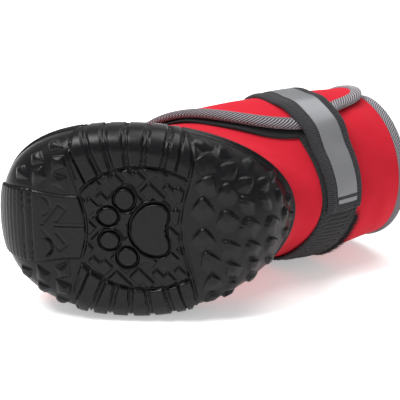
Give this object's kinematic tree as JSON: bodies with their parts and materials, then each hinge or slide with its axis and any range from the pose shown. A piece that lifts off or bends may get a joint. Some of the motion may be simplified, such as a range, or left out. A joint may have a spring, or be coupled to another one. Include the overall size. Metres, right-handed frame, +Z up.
{
  "type": "dog bootie",
  "caption": "Soft dog boot lying on its side: cupped black rubber sole with lugs and paw relief, red shaft with a lapped bound flap, hook strap with a reflective strip.",
  "frame": {"origin": "centre of the bounding box on the floor, with the boot lying on its right side", "axes": "-X towards the toe, -Y out of the tread, +Z up from the floor, out of the boot's left side"},
  "size_m": [0.1764, 0.1176, 0.0849],
  "materials": {
    "rubber": "satin moulded rubber",
    "red_cloth": "smooth matte soft-shell cloth over foam",
    "lining": "matte knitted lining",
    "grey_trim": "ribbed twill binding",
    "black_web": "matte webbing and loop pile"
  },
  "bodies": {
    "root": {"outsole": "rubber", "upper": "red_cloth", "insole": "lining", "throat_flap": "red_cloth", "flap_binding": "grey_trim", "collar_binding": "grey_trim", "loop_band": "black_web", "strap": "black_web"}
  },
  "joints": []
}
